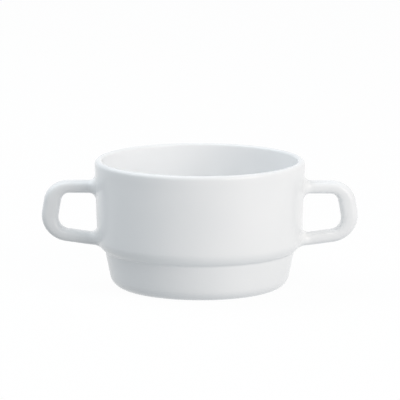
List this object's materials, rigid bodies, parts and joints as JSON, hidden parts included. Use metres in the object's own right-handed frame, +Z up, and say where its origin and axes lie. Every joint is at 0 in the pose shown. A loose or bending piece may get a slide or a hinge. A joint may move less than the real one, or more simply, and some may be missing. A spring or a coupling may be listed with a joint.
{
  "type": "broth cup",
  "caption": "Round stacking broth cup with a rounded lip, a shouldered, tapered foot and a closed loop handle on each side, for serving broth or soup.",
  "frame": {"origin": "centre of the plane that the cup stands on, on the bowl's axis", "axes": "+X through the right handle, +Y away from the viewer, +Z up along the bowl's axis"},
  "size_m": [0.1582, 0.105, 0.064],
  "materials": {
    "opal_glass": "gloss"
  },
  "bodies": {
    "root": {"cup_body": "opal_glass", "handle_left": "opal_glass", "handle_right": "opal_glass"}
  },
  "joints": []
}
